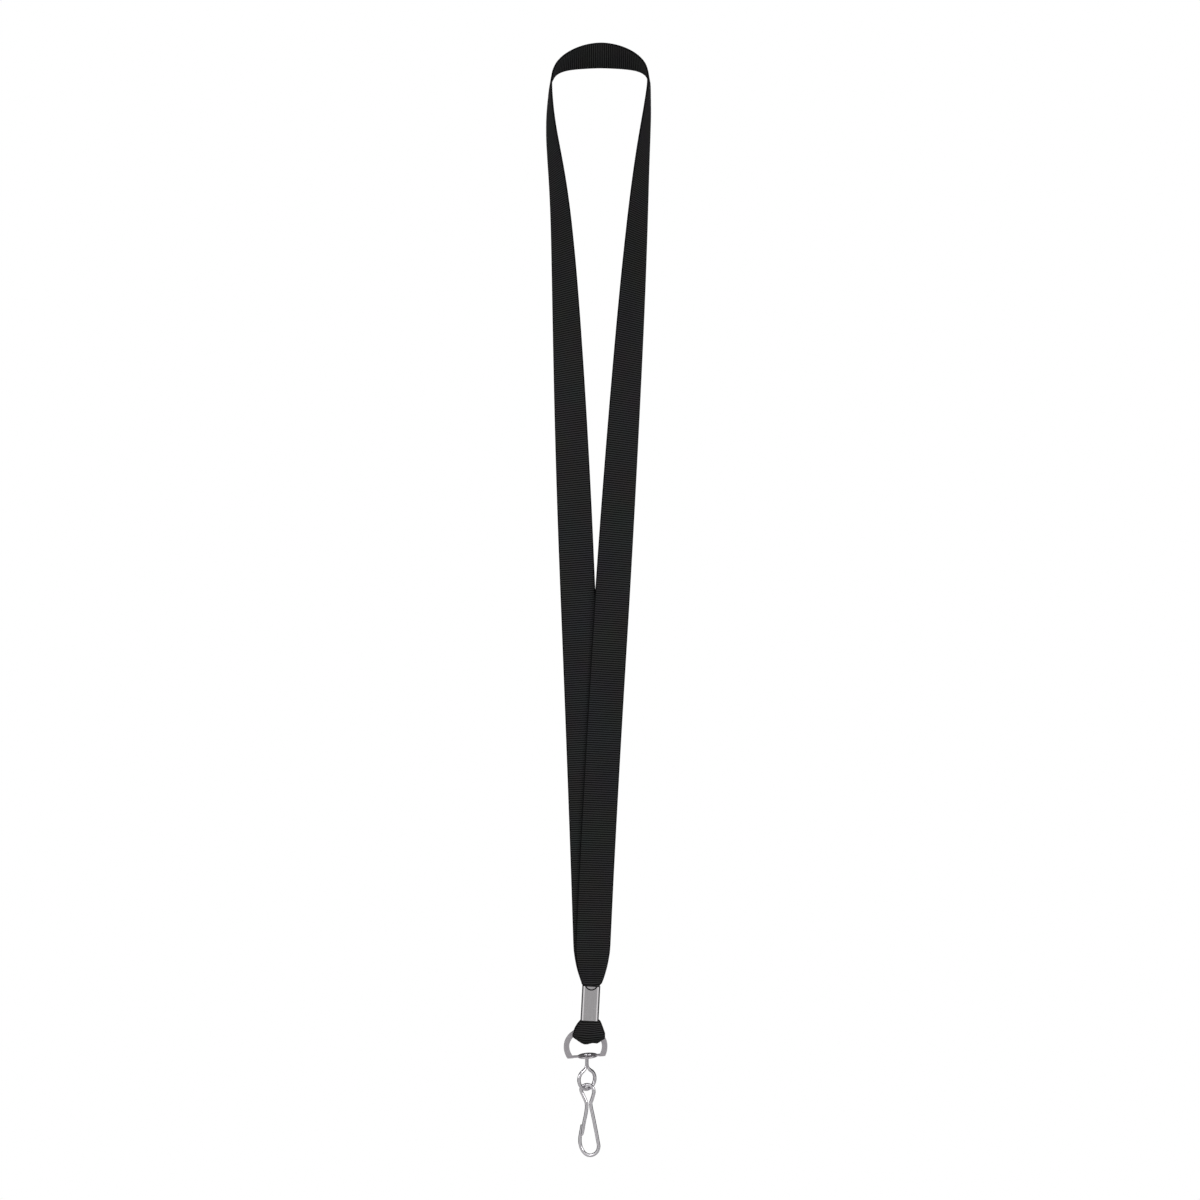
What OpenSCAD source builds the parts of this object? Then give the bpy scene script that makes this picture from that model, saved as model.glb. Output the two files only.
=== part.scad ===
/* [Strap] */
// Width of the woven strap
strap_w = 15.9; // [13:0.1:19.1]
// Thickness of the woven strap
strap_t = 0.9; // [0.7:0.05:1.1]
// Width of the strap where it hangs below the crimp
loop_w = 15; // [12:0.5:18]

/* [Crimp sleeve] */
// Width across the front
crimp_w = 8.2; // [6.8:0.1:10]
// Depth from front to back
crimp_d = 5.4; // [4.6:0.1:6.6]
// Height of the sleeve
crimp_len = 15.4; // [12:0.1:19]
// Thickness of the sheet
crimp_wall = 0.6; // [0.4:0.05:0.8]
// Lean of the sleeve, lower end to the left, in degrees
crimp_lean = 3; // [0:0.5:4]

/* [Swivel head] */
// Outer radius of the bow
bow_r = 9.9; // [8.2:0.1:12]
// Width of the flat band that makes the bow
bow_band = 2.5; // [2:0.1:3]
// Thickness of the bow from front to back
bow_t = 1.2; // [1:0.1:1.5]
// Thickness of the foot plate
foot_t = 0.8; // [0.6:0.1:1.2]
// Diameter of the round pad in the middle of the foot
pad_d = 8.7; // [7:0.1:10.5]
// Depth of the foot beside the pad
foot_d = 2.4; // [2:0.1:3]
// Lean of the head, left side lower, in degrees
head_lean = 4; // [0:0.5:5]

/* [Swivel eye] */
// Diameter of the eye's wire
eye_wire = 1.65; // [1.3:0.05:2]
// Radius of the eye, to the middle of its wire
eye_r = 4.45; // [4.2:0.05:5.4]
// Diameter of the shank that turns in the foot
shank_d = 1.7; // [1.4:0.05:2.1]
// Clearance all round the shank
shank_gap = 0.1; // [0.05:0.01:0.1]
// Radius of each of the two rounded heads on the shank
knob_r = 0.9; // [0.8:0.05:1.1]
// Distance from the foot to the middle of the eye
shank_len = 10.2; // [9.6:0.1:11.5]
// How far the eye is turned from facing the front, in degrees
eye_turn = 37; // [30:1:60]

/* [Hook] */
// Diameter of the spring wire
hook_wire_d = 1.65; // [1.3:0.05:1.65]
// How far the hook is turned from facing the front, in degrees
hook_turn = -18; // [-30:1:-15]
// Clearance between the ball end of the gate and the wire's cut end above it
gate_gap = 0.1; // [0.05:0.01:0.15]

/* [Hidden] */
ink = [0.07, 0.07, 0.08];
nickel = [0.78, 0.78, 0.79];
bright = [0.86, 0.86, 0.87];

// Everything metal hangs in this plane, between the two legs
hang_y = -23.7;
leg_gap = 0.3;
front_y = hang_y - (strap_t + leg_gap) / 2;
back_y = hang_y + (strap_t + leg_gap) / 2;
// Height of the line that the strap bends about above the crimp, the radius of the
// rounded strap below that line, and where the legs end above it
bend_z = -425;
bend_r = strap_t + leg_gap / 2;
bend_gap = 0.15;
leg_end_z = bend_z + bend_r + bend_gap;
// Centre of the crimp sleeve
crimp_x = -4.8;
crimp_neck = 1.4;
crimp_top_z = bend_z - crimp_neck;
crimp_z = crimp_top_z - crimp_len / 2;
crimp_foot_z = crimp_top_z - crimp_len;
crimp_corner_r = crimp_d * 0.3;
crimp_in_w = crimp_w - 2 * crimp_wall;
crimp_in_d = crimp_d - 2 * crimp_wall;
seam_w = 0.3;
scoop_r = 12;
scoop_deep = 0.35;
// The strap inside the crimp stops this far short of each end of it. Its bare neck
// above the sleeve stands a little to one side.
tail_inset = 0.2;
neck_open = crimp_neck - 0.1;
mouth_shift = 0.4;
// Double strap below the crimp: its two leaves, the gap that the bow swings in, and
// the room between the fold and the bow
fold_t = 1.9;
fold_gap = 3.4;
bow_play = 0.6;
// Swivel head
head_x = -7;
head_z = crimp_foot_z - 2 - bow_r;
foot_drop = 4.4;
foot_pitch = 4;
foot_z = head_z - foot_drop;
bow_in_r = bow_r - bow_band;
// Swivel eye
eye_x = -6.4;
eye_z = foot_z - shank_len - foot_t / 2;
knob_spread = 0.95;
knob_base_z = foot_z + foot_t / 2 + 0.3;
// Hook: the wire's own points are [right, away, up] from its waist
hook_x = -5.5;
link_play = 0.25;
hook_apex = 8.6;
hook_z = eye_z - eye_r + (eye_wire + hook_wire_d) / 2 + link_play - hook_apex;
gate_pivot = [-0.9, -0.4, -1];
// Steps round the ball at the end of a wire, in degrees from its widest place
ball_steps = [78, 56, 36, 17];

// Middle of the strap over the back of the neck, and where each leg starts
neck_y = 0.3;
neck_z = 0.4;
neck_lean = 35;
shoulder_x = 22.1;
shoulder_y = -3.6;
shoulder_z = -16;
shoulder_turn = 5;
shoulder_lean = 10;
// How full the neck loop is from side to side, and how squarely it drops at the ends
span_power = 1.8;
drop_power = 3.6;
// The left shoulder stands this much further out than the right one
left_skew = 1.3;
neck_steps = 18;
// Both legs come together above the crimp. Each one is almost straight above that,
// with a swell below the shoulder, where the stiff strap won't turn as sharply.
leg_foot_x = -4.2;
leg_lean = 1;
lean_power = 1.15;
depth_power = 2.5;
leg_steps = 68;
// How soon the legs turn from edge-on to face the front
turn_fade = 138;
// For each leg: side, how much it bows, its swell, how far below the shoulder that is,
// half its height, where the leg faces the front, how suddenly, and its plane there
right = [1, 1.17, 1.05, 6, 16, 249, 6, front_y];
left = [-1, 1.13, 3.5, 13, 21, 228, 4, back_y];
// Heights between which the strap is gathered into the crimp, and how suddenly
gather_from = -406;
gather_to = -426;
gather_power = 2.1;
mouth_slack = 0.4;

hook_points = [
    [-3.4, 0.65, -9.9], [-3.9, 0.6, -12.6], [-4.4, 0.4, -16.3], [-4.15, 0.2, -18.7],
    [-3.3, 0.1, -20.9], [-1.8, 0, -22.6], [0.1, 0, -23.3], [2.3, 0, -22.8], [3.9, 0, -21.4],
    [4.65, 0, -19.3], [4.3, 0, -16.7], [3.1, 0.1, -10.8], [1.8, 0.3, -5.1], [0.9, 0.4, -1.3],
    [0.75, 0.4, 0.2], [1.3, 0.3, 1.8], [1.95, 0.1, 3.7], [2.35, 0, 5.6], [2, 0, 7.1],
    [0.85, 0, 8.25], [-0.7, 0, 8.6], [-2.35, 0, 8.15], [-3.5, 0, 7.1], [-3.65, 0, 5.85],
    [-2.8, -0.1, 4], [-1.7, -0.3, 1.9], [-1.2, -0.37, 0.8],
    gate_pivot + [0, 0, hook_wire_d / 2 + gate_gap]
];
gate_points = [
    gate_pivot, [-1, -0.45, -2.4], [-1.25, -0.55, -4.4], [-2, -0.75, -8.2],
    [-2.6, -0.9, -12], [-2.9, -0.95, -14.4]
];

function unit(v) = v / norm(v);

// One point of the smooth curve through a, b, c and d, between b and c
function bend(a, b, c, d, s) =
    b + s * (c - a) / 2
    + s * s * (a - 2.5 * b + 2 * c - d / 2)
    + s * s * s * (1.5 * b - a / 2 - 1.5 * c + d / 2);

// The smooth curve through all the points, with n steps between two of them
function smooth(pts, n) = [
    for (i = [0 : len(pts) - 2], k = [0 : n - 1])
        bend(
            i == 0 ? 2 * pts[0] - pts[1] : pts[i - 1], pts[i], pts[i + 1],
            i + 2 == len(pts) ? 2 * pts[i + 1] - pts[i] : pts[i + 2], k / n
        ),
    pts[len(pts) - 1]
];

function heading(pts, i) =
    unit(pts[min(i + 1, len(pts) - 1)] - pts[max(i - 1, 0)]);

// Strap stations are [x, y, z, turn, lean]. Turn 0 is edge-on and 90 faces the front.
// Lean lifts the edge that becomes the inner edge of the leg.
// Neck loop, at an angle from the middle of the neck, 90 at the right shoulder
function neck_station(a) =
    let (
        share = pow(abs(sin(a)), 2 / span_power),
        z = shoulder_z + (neck_z - shoulder_z) * pow(abs(cos(a)), 2 / drop_power),
        skew = a < 0 ? left_skew * pow(max(0, z / shoulder_z), 1.5) : 0
    )
    [
        sign(a) * share * shoulder_x - skew,
        neck_y + (shoulder_y - neck_y) * pow(share, 3),
        z,
        sign(a) * shoulder_turn * share * share,
        shoulder_lean + (neck_lean - shoulder_lean) * pow(1 - share * share, 1.4)
    ];

// How much the swell below the shoulder stands out at a distance below the shoulder
function swell(leg, down) =
    let (u = (down - leg[3]) / leg[4])
    leg[2] * 2 / (exp(u) + exp(-u));

// Leg, at a share of the way down from the shoulder to the crimp
function leg_station(leg, share) =
    let (
        z = shoulder_z + (leg_end_z - shoulder_z) * share,
        down = shoulder_z - z,
        out = shoulder_x + (leg[0] < 0 ? left_skew + leg_foot_x : -leg_foot_x),
        spread = out - swell(leg, 0),
        turned = min(1, down / leg[5])
    )
    [
        leg_foot_x + leg[0] * (spread * pow(1 - share, leg[1]) + swell(leg, down)),
        leg[7] + (shoulder_y - leg[7]) * pow(1 - turned, depth_power),
        z,
        leg[0] * (90 - (90 - shoulder_turn) * exp(-down / turn_fade) * (1 - pow(turned, leg[6]))),
        leg_lean + (shoulder_lean - leg_lean) * pow(1 - share, lean_power)
    ];

// Direction across the strap, towards its inner edge
function across(st) =
    [-sin(st[3]) * cos(st[4]), -cos(st[3]) * cos(st[4]), sin(st[4])];

function gathered(z, mouth) =
    z > gather_from ? strap_w
    : strap_w + (mouth - strap_w) * pow((gather_from - z) / (gather_from - gather_to), gather_power);

// The four corners of the strap at one station
function strap_ring(c, side, face, w) = [
    c + side * w / 2 + face * strap_t / 2,
    c - side * w / 2 + face * strap_t / 2,
    c - side * w / 2 - face * strap_t / 2,
    c + side * w / 2 - face * strap_t / 2
];

// A closed skin over rings of m points each. The two halves of a ring are cut along
// matching diagonals, so that a twisted strap keeps its thickness.
module skin(rings, m) {
    n = len(rings);
    walls = [
        for (i = [0 : n - 2], j = [0 : m - 1])
            let (
                a = i * m + j,
                b = i * m + (j + 1) % m,
                c = (i + 1) * m + j,
                d = (i + 1) * m + (j + 1) % m
            )
            each (j < m / 2 ? [[a, c, b], [b, c, d]] : [[a, d, b], [a, c, d]])
    ];
    start_cap = [for (j = [1 : m - 2]) [0, j, j + 1]];
    end_cap = [for (j = [1 : m - 2]) [(n - 1) * m, (n - 1) * m + j + 1, (n - 1) * m + j]];
    polyhedron(points = [for (r = rings) each r], faces = concat(walls, start_cap, end_cap));
}

module strap(run) {
    mids = [for (s = run) [s[0], s[1], s[2]]];
    skin([
        for (i = [0 : len(run) - 1])
            let (
                side = across(run[i]),
                face = unit(cross(heading(mids, i), side)),
                w = gathered(run[i][2], crimp_w + mouth_slack)
            )
            strap_ring(mids[i], side, face, w)
    ], 4);
}

// Corners of one ring of a round wire that runs through c
function wire_ring(c, along, r, sides) =
    let (
        out = unit(cross(along, [0, 1, 0])),
        up = cross(along, out)
    )
    [for (j = [0 : sides - 1]) c + r * (out * cos(360 * j / sides) + up * sin(360 * j / sides))];

// Round wire through points that lie close to one upright plane. Its first end is a
// ball; its last end is one too if ball_end is true, and is cut flat if not.
module wire(points, d, steps, ball_end, sides = 14) {
    run = smooth(points, steps);
    last = len(run) - 1;
    first_way = heading(run, 0);
    last_way = heading(run, last);
    skin(concat(
        [for (a = ball_steps)
            wire_ring(run[0] - first_way * d / 2 * sin(a), first_way, d / 2 * cos(a), sides)],
        [for (i = [0 : last]) wire_ring(run[i], heading(run, i), d / 2, sides)],
        ball_end
            ? [for (i = [1 : len(ball_steps)])
                let (a = ball_steps[len(ball_steps) - i])
                wire_ring(run[last] + last_way * d / 2 * sin(a), last_way, d / 2 * cos(a), sides)]
            : []
    ), sides);
}

module block(w, d, h, x = 0, y = 0, z = 0) {
    translate([x - w / 2, y - d / 2, z - h / 2]) cube([w, d, h]);
}

// A rounded bar standing on end, centred on the origin
module rounded_bar(w, d, h, r) {
    block(w - 2 * r, d, h);
    block(w, d - 2 * r, h);
    for (sx = [-1, 1], sy = [-1, 1])
        translate([sx * (w / 2 - r), sy * (d / 2 - r), 0])
            cylinder(r = r, h = h, center = true, $fn = 48);
}

module in_crimp() {
    translate([crimp_x, hang_y, crimp_z]) rotate([0, crimp_lean, 0]) children();
}

// Strap behind the neck, from one shoulder to the other
module strap_neck() {
    color(ink) strap([
        for (i = [-neck_steps : neck_steps]) neck_station(-90 * i / neck_steps)
    ]);
}

module strap_leg_right() {
    color(ink) strap([for (i = [0 : leg_steps]) leg_station(right, i / leg_steps)]);
}

module strap_leg_left() {
    color(ink) strap([for (i = [0 : leg_steps]) leg_station(left, i / leg_steps)]);
}

// Both ends of the strap folded and pressed together inside the crimp
module strap_tails() {
    color(ink) {
        in_crimp()
            rounded_bar(crimp_in_w, crimp_in_d, crimp_len - 2 * tail_inset, crimp_corner_r - crimp_wall);
        translate([crimp_x + mouth_shift, hang_y, bend_z]) {
            rotate([0, 90, 0]) cylinder(r = bend_r, h = crimp_w, center = true, $fn = 48);
            block(crimp_w, 2 * bend_r, neck_open, z = -neck_open / 2);
            block(crimp_in_w - 1.6, 2 * bend_r, 1.2, z = -crimp_neck);
        }
    }
}

// Strap folded round the bow of the swivel head
module strap_loop() {
    top_half = crimp_w / 2 + 0.7;
    half = loop_w / 2;
    neck_h = 1.4;
    color(ink) {
        in_crimp()
            translate([0, 0, tail_inset - crimp_len / 2 - neck_h / 2])
                rounded_bar(crimp_in_w, crimp_in_d, neck_h, crimp_corner_r - crimp_wall);
        translate([crimp_x, hang_y, crimp_foot_z])
            for (s = [-1, 1])
                translate([0, s * (fold_gap + fold_t) / 2 + fold_t / 2, 0])
                    rotate([90, 0, 0])
                        linear_extrude(fold_t)
                            polygon([
                                [-top_half, -0.4], [-half - 0.6, -4.6], [-half - 0.6, -7.7],
                                [-3.1, -10.7], [1.3, -9.5], [3, -10.3], [half - 0.6, -7.6],
                                [half - 0.9, -4.4], [top_half, -0.4]
                            ]);
        translate([head_x, hang_y, head_z])
            intersection() {
                translate([0, 0, bow_in_r * 0.33])
                    block(bow_in_r * 1.5, fold_gap + fold_t, bow_in_r * 0.36);
                rotate([90, 0, 0])
                    cylinder(r = bow_in_r - bow_play, h = bow_r, center = true, $fn = 96);
            }
    }
}

// Folded sheet sleeve, open at both ends, with its seam at the back
module crimp_sleeve() {
    color(bright)
        in_crimp() difference() {
            rounded_bar(crimp_w, crimp_d, crimp_len, crimp_corner_r);
            rounded_bar(crimp_in_w, crimp_in_d, crimp_len + 1, crimp_corner_r - crimp_wall);
            block(seam_w, 2 * crimp_wall, crimp_len + 1, y = crimp_d / 2);
            translate([0, scoop_deep - crimp_d / 2 - scoop_r, crimp_len / 2 + 1.2])
                sphere(r = scoop_r, $fn = 120);
        }
}

// Bow and turned foot, pressed from one piece of sheet
module swivel_head() {
    color(nickel)
        difference() {
            translate([head_x, hang_y, head_z]) rotate([0, -head_lean, 0]) {
                rotate([90, 0, 0]) difference() {
                    cylinder(r = bow_r, h = bow_t, center = true, $fn = 96);
                    cylinder(r = bow_in_r, h = 2 * bow_t, center = true, $fn = 96);
                    translate([-bow_r, -2 * bow_r - foot_drop, -bow_t])
                        cube([2 * bow_r, 2 * bow_r, 2 * bow_t]);
                }
                translate([0, 0, -foot_drop]) {
                    block(2 * sqrt(bow_r * bow_r - foot_drop * foot_drop), foot_d, foot_t);
                    translate([eye_x - head_x, 0, 0])
                        rotate([foot_pitch, 0, 0])
                            cylinder(d = pad_d, h = foot_t, center = true, $fn = 72);
                }
            }
            translate([eye_x, hang_y, foot_z])
                cylinder(d = shank_d + 2 * shank_gap, h = 4, center = true, $fn = 48);
        }
}

// One wire bent into a ring, its two ends side by side as a shank with rounded heads
module swivel_eye() {
    shank_foot = eye_z + eye_r - 0.3;
    color(bright) translate([eye_x, hang_y, 0]) rotate([0, 0, eye_turn]) {
        translate([0, 0, eye_z])
            rotate([90, 0, 0])
                rotate_extrude($fn = 96) translate([eye_r, 0]) circle(d = eye_wire, $fn = 32);
        translate([0, 0, shank_foot])
            cylinder(d = shank_d, h = knob_base_z + 0.4 - shank_foot, $fn = 48);
        for (s = [-1, 1])
            intersection() {
                translate([s * knob_spread, 0, knob_base_z + knob_r * 0.35])
                    sphere(r = knob_r, $fn = 48);
                translate([0, 0, knob_base_z + 5]) cube(10, center = true);
            }
    }
}

module at_hook() {
    translate([hook_x, hang_y, hook_z]) rotate([0, 0, hook_turn]) children();
}

// Spring wire from the tip, round the hook and over the eye, back down to the waist
module hook_wire() {
    color(bright) at_hook() wire(hook_points, hook_wire_d, 4, false);
}

// Free end of the same wire, which springs inwards past the tip
module hook_gate() {
    color(bright) at_hook() wire(gate_points, hook_wire_d, 4, true);
}

strap_neck();
strap_leg_right();
strap_leg_left();
strap_tails();
strap_loop();
crimp_sleeve();
swivel_head();
swivel_eye();
hook_wire();
hook_gate();
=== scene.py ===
import math

import bpy
import numpy as np
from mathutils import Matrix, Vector


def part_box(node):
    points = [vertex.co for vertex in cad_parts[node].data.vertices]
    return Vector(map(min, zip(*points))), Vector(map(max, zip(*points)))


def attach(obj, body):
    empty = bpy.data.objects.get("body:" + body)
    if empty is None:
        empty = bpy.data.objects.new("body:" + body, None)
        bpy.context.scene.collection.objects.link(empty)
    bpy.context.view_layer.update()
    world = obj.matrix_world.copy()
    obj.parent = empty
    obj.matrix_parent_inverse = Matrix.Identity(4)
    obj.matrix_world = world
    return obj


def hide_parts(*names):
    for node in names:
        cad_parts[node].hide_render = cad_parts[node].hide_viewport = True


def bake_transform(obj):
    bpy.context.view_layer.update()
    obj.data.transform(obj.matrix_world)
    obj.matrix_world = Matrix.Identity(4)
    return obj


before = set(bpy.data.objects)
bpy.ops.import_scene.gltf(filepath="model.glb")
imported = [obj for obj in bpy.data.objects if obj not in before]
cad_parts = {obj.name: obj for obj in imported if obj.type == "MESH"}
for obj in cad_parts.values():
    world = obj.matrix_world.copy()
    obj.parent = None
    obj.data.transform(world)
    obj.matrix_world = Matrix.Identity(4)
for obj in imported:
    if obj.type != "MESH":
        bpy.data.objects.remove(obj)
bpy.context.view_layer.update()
scene = bpy.context.scene
MM = 0.001

# ---------------------------------------------------------------------------
# Camera. It stands 1.2 m in front of the metalwork, level, at half the height
# of the lanyard.
# ---------------------------------------------------------------------------
CAMERA_ASIDE = -0.00045
CAMERA_AWAY = 1.2
CAMERA_HEIGHT = -0.2514
bpy.ops.object.select_all(action="DESELECT")
crimp_low, crimp_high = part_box("crimp_sleeve")
hang_y = (crimp_low.y + crimp_high.y) / 2
bpy.ops.object.camera_add(
    location=(CAMERA_ASIDE, hang_y - CAMERA_AWAY, CAMERA_HEIGHT), rotation=(math.radians(90), 0, 0)
)
camera = bpy.context.object
camera.name = "camera"
camera.data.sensor_width = 36
camera.data.lens = 79.4
camera.data.clip_start = 0.01
camera.data.clip_end = 50
scene.camera = camera

# ---------------------------------------------------------------------------
# Strap. One length of black ribbon, about a metre long, woven with close cross
# ribs and a plain selvedge along both sides. It goes round the neck, both legs
# are gathered into the crimp, and the ends are folded round the swivel head and
# tucked back up into the crimp. Modelled directly, as flat webbing is.
# ---------------------------------------------------------------------------
RIB_PITCH = 1.007 * MM
STATIONS_PER_RIB = 3
RIB_STEPS = np.array([-1.0, 0.55, 0.55])
RIB_HEIGHT = 0.075 * MM
STRAP_WIDTH = 15.9 * MM
STRAP_THICK = 0.84 * MM
# Middle of the crimp, across and up in mm, and how far it leans
CRIMP_ACROSS = -4.8
CRIMP_UP = -434.1
CRIMP_LEAN = math.radians(3)
# Where the legs lie: the plane of the right leg and of the left, across and height of their lower end,
# and their lean there in degrees
LEG_FRONT = -24.3
LEG_BACK = -23.1
LEG_FOOT = -4.2
LEG_END = -423.8
LEG_LEAN = 1
SHOULDER_OUT = 22.1
SHOULDER_DEPTH = -3.6
SHOULDER_HEIGHT = -16.0
SHOULDER_TURN = 5
SHOULDER_LEAN = 10
NECK_DEPTH = 0.3
NECK_HEIGHT = 0.4
NECK_LEAN = 35
LEFT_SKEW = 1.3
# How sudden each change along the strap is
NECK_SPAN_POWER = 1.8
NECK_DROP_POWER = 3.6
NECK_DEPTH_POWER = 3
NECK_LEAN_POWER = 1.4
SKEW_POWER = 1.5
LEG_DEPTH_POWER = 2.5
LEG_LEAN_POWER = 1.15
TURN_FADE = 138
# The legs are gathered towards the crimp, and pleated there
GATHER_FROM = -406
GATHER_LENGTH = 20
GATHERED_WIDTH = 8.6 * MM
GATHER_POWER = 2.1
PLEAT_DEPTH = 0.55 * MM
PLEAT_FROM = -408
PLEAT_LENGTH = 15
PLEAT_POWER = 1.3
PLEAT_WAVES = 2.4 / (8.8 * MM)
PLEAT_PHASE = 1.2
# For each leg: side, how much it bows, its swell below the shoulder, how far below that
# is, half its height, where the leg faces the front, how suddenly, and its plane there
RIGHT_LEG = (1, 1.17, 1.05, 6, 16, 249, 6, LEG_FRONT)
LEFT_LEG = (-1, 1.13, 3.5, 13, 21, 228, 4, LEG_BACK)
# Places across the strap, from the outer edge of the leg, -1, to its inner edge, 1
ACROSS = np.array([
    -1, -0.975, -0.9, -0.78, -0.62, -0.46, -0.28, -0.1, 0.08, 0.22, 0.36, 0.5, 0.64, 0.78, 0.9, 0.975, 1,
])


def neck_station(angle):
    """The strap over the neck, at an angle from its middle; 90 is the right shoulder.
    Stations are x, y, z in mm, then turn and lean in degrees. Turn 0 is edge-on and 90
    faces the front; lean lifts the inner edge."""
    side = 1 if angle > 0 else -1
    share = abs(math.sin(math.radians(angle))) ** (2 / NECK_SPAN_POWER)
    drop = abs(math.cos(math.radians(angle))) ** (2 / NECK_DROP_POWER)
    height = SHOULDER_HEIGHT + (NECK_HEIGHT - SHOULDER_HEIGHT) * drop
    skew = LEFT_SKEW * max(0, height / SHOULDER_HEIGHT) ** SKEW_POWER if angle < 0 else 0
    return (
        side * share * SHOULDER_OUT - skew,
        NECK_DEPTH + (SHOULDER_DEPTH - NECK_DEPTH) * share**NECK_DEPTH_POWER,
        height,
        side * SHOULDER_TURN * share**2,
        SHOULDER_LEAN + (NECK_LEAN - SHOULDER_LEAN) * max(0, 1 - share**2) ** NECK_LEAN_POWER,
    )


def leg_station(leg, height):
    """One leg at a height: almost straight, but swollen out just below the shoulder."""
    side, bow_power, swell, swell_drop, swell_half, faces_at, sudden, plane = leg
    share = (LEG_END - height) / (LEG_END - SHOULDER_HEIGHT)
    down = SHOULDER_HEIGHT - height
    turned = min(1, down / faces_at)
    swell_here = swell / math.cosh((down - swell_drop) / swell_half)
    swell_above = swell / math.cosh(swell_drop / swell_half)
    spread = side * ((SHOULDER_OUT if side > 0 else -SHOULDER_OUT - LEFT_SKEW) - LEG_FOOT) - swell_above
    still_turned = math.exp(-down / TURN_FADE) * (1 - turned**sudden)
    return (
        LEG_FOOT + side * (spread * share**bow_power + swell_here),
        plane + (SHOULDER_DEPTH - plane) * (1 - turned) ** LEG_DEPTH_POWER,
        height,
        side * (90 - (90 - SHOULDER_TURN) * still_turned),
        LEG_LEAN + (SHOULDER_LEAN - LEG_LEAN) * share**LEG_LEAN_POWER,
    )


def strap_width_at(height):
    """Width that shows at a height: full, then gathered towards the crimp."""
    gathered = min(1.0, max(0.0, (GATHER_FROM - height) / GATHER_LENGTH))
    return STRAP_WIDTH - (STRAP_WIDTH - GATHERED_WIDTH) * gathered**GATHER_POWER


def flat_row(station):
    """One row of points across the strap, with the pleats of the gathered part."""
    x, y, z, turn, lean = station
    turn, lean = math.radians(turn), math.radians(lean)
    side = np.array([-math.sin(turn) * math.cos(lean), -math.cos(turn) * math.cos(lean), math.sin(lean)])
    row = np.array([x, y, z]) * MM + np.outer(ACROSS, side) * strap_width_at(z) / 2
    pleat = PLEAT_DEPTH * min(1.0, max(0.0, (PLEAT_FROM - z) / PLEAT_LENGTH)) ** PLEAT_POWER
    row[:, 1] += pleat * np.cos(math.pi * PLEAT_WAVES * row[:, 0] + PLEAT_PHASE)
    return row


def mouth_row(depth):
    """Where the gathered strap swells over the rim of the crimp."""
    x = -4.3 + ACROSS * 4.25
    y = hang_y / MM + depth + 0.25 * np.cos(9 * ACROSS + 0.8)
    return np.stack([x, y, -425.7 + 0.35 * ACROSS**4], 1) * MM


def crimp_row(height, depth, half):
    """A row inside the crimp, which leans: its lower end is to the left."""
    middle = CRIMP_ACROSS + (height - CRIMP_UP) * math.tan(CRIMP_LEAN)
    x = middle + ACROSS * half
    return np.stack([x, np.full_like(x, hang_y / MM + depth), np.full_like(x, height)], 1) * MM


def fold_row(left, right, edge_height, middle_height, depth):
    """A row of the folded loop below the crimp, from its left edge to its right edge."""
    x = left + (right - left) * (ACROSS + 1) / 2
    z = middle_height + (edge_height - middle_height) * np.abs(ACROSS) ** 3
    return np.stack([x, np.full_like(x, hang_y / MM + depth), z], 1) * MM


def fold_bottom(lift):
    """The lowest row of the loop, which hangs in two lobes with a notch between."""
    x = -5.5 + ACROSS * 7.3
    lobes = 1.0 * np.exp(-(((x + 7.4) / 2.6) ** 2)) + 0.75 * np.exp(-(((x + 1.7) / 1.3) ** 2))
    corners = 2.1 * np.abs((x + 5.0) / 7.0) ** 2.2
    return np.stack([x, np.full_like(x, hang_y / MM), -451.7 - lobes + corners + lift], 1) * MM


# How far the inner end of the strap lies inside the fold of the outer one, in mm
INNER_SLIP = 0.9
CRUSH = 0.16 * MM


def tail(inner, mirrored):
    """Rows of one folded end, from inside the crimp down the front, round the bow and
    up the back. The inner of the two ends lies inside the fold of the outer one."""
    slip = INNER_SLIP if inner else 0.0
    bottom = fold_bottom(slip)
    front = [
        crimp_row(-426.9, -1.35 + slip, 3.35), crimp_row(-434, -1.35 + slip, 3.2),
        crimp_row(-440.9, -1.35 + slip, 3.3), fold_row(-9.4, -0.45, -442.1, -442.2, -1.6 + slip * 0.9),
        fold_row(-10.8, 0.25, -443.8, -444.1, -2.3 + slip),
        fold_row(-12.2, 1.1, -446.1, -446.5, -2.85 + slip),
        fold_row(-12.9, 1.85, -448.2, -449.0, -3.0 + slip),
    ]
    # The strap is crushed, so its ribs don't run quite straight
    for number, row in enumerate(front[3:]):
        row[:, 2] += CRUSH * np.sin(5.5 * ACROSS + 1.7 * number)
    turning = 0.4 * front[-1] + 0.6 * bottom
    turning[:, 1] = hang_y + (-2.1 + slip) * MM
    front.append(turning)
    back = []
    for row in front[::-1]:
        copy = row.copy()
        copy[:, 1] = 2 * hang_y - copy[:, 1]
        back.append(copy)
    rows = front + [bottom] + back
    return [r[::-1] for r in rows] if mirrored else rows


upper_heights = [SHOULDER_HEIGHT - 10 * i for i in range(6)]
middle_heights = [-80 - 20 * i for i in range(17)]
gather_heights = [-409, -413, -417, -420.5, LEG_END]
leg_heights = upper_heights + middle_heights + gather_heights
rows = tail(False, True)[::-1] + [mouth_row(-1.55)[::-1]]
rows += [flat_row(leg_station(RIGHT_LEG, height)) for height in leg_heights[::-1]]
rows += [flat_row(neck_station(angle)) for angle in (85, *range(80, -81, -10), -85)]
rows += [flat_row(leg_station(LEFT_LEG, height)) for height in leg_heights]
rows += [mouth_row(1.0)] + tail(True, False)
rows = np.array(rows)


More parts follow.
